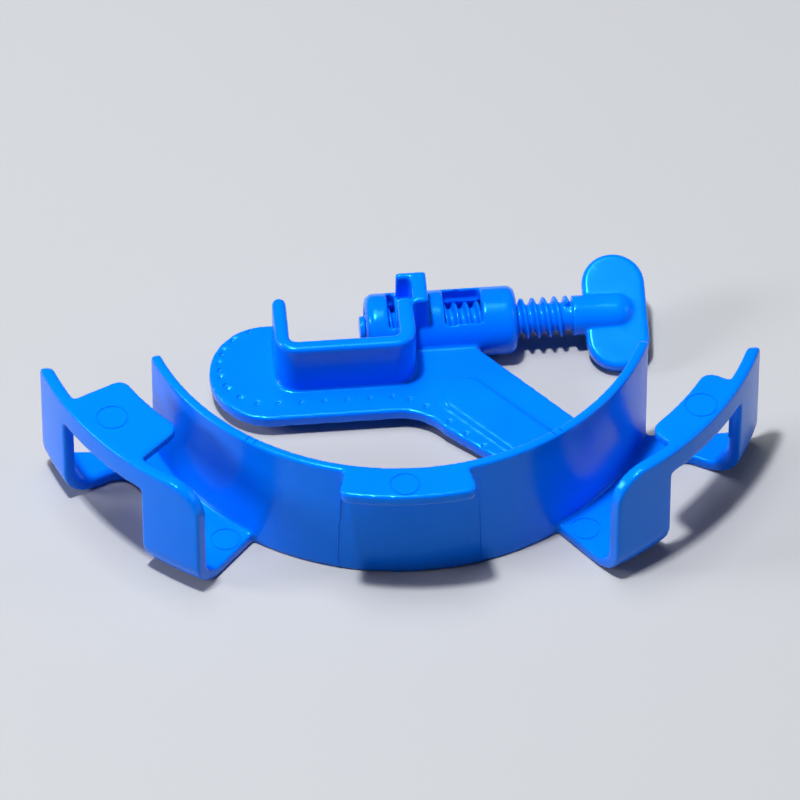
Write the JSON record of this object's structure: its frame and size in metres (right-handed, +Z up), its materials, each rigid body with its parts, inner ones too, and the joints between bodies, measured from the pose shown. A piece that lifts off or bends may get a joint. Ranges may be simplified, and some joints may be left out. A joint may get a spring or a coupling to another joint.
{
  "type": "cheek retractor",
  "caption": "Curved lip band with hooked, windowed cheek wings and a front tab, with a loose tongue shield that has a U-shaped clamp yoke, a screw barrel and a thumb screw.",
  "frame": {"origin": "on the surface the object stands on, under the middle of its bounding box", "axes": "+X to the right from wing to wing, +Y from the front lip tab towards the open back, +Z up, out of the band's upper edge"},
  "size_m": [0.1016, 0.0582, 0.0196],
  "materials": {
    "band_plastic": "smooth moulded polypropylene with a soft gloss",
    "shield_plastic": "smooth moulded polypropylene with a soft gloss",
    "screw_plastic": "smooth moulded polypropylene with a soft gloss"
  },
  "bodies": {
    "lip_band": {"lip_band": "band_plastic", "front_lip_tab": "band_plastic", "left_front_hook": "band_plastic", "left_rear_hook": "band_plastic", "left_rail": "band_plastic", "left_cheek_tab": "band_plastic", "left_wing_foot": "band_plastic", "right_front_hook": "band_plastic", "right_rear_hook": "band_plastic", "right_rail": "band_plastic", "right_cheek_tab": "band_plastic", "right_wing_foot": "band_plastic"},
    "tongue_shield": {"shield_plate": "shield_plastic", "grip_pad": "shield_plastic", "clamp_yoke": "shield_plastic", "guide_hook": "shield_plastic", "screw_barrel": "shield_plastic"},
    "pressure_pad": {"pressure_pad": "screw_plastic"},
    "clamp_screw": {"clamp_screw": "screw_plastic", "thumb_paddle": "screw_plastic"}
  },
  "joints": [
    {"name": "shield_lift", "type": "slide", "parent": "lip_band", "child": "tongue_shield", "axis": [0, 0, 1], "range_m": [0, 0.03]},
    {"name": "pad_advance", "type": "slide", "parent": "tongue_shield", "child": "pressure_pad", "axis": [-0.9988, -0.048, 0], "range_m": [-0.002, 0.0088]},
    {"name": "screw_turn", "type": "hinge", "parent": "pressure_pad", "child": "clamp_screw", "pos_m": [-0.0042, 0.01917, 0.0049], "axis": [-0.9988, -0.048, 0], "range_deg": [-460, 1990]}
  ],
  "couplings": [
    {"joint": "screw_turn", "follows": "pad_advance", "rad_per_m": 3927}
  ]
}
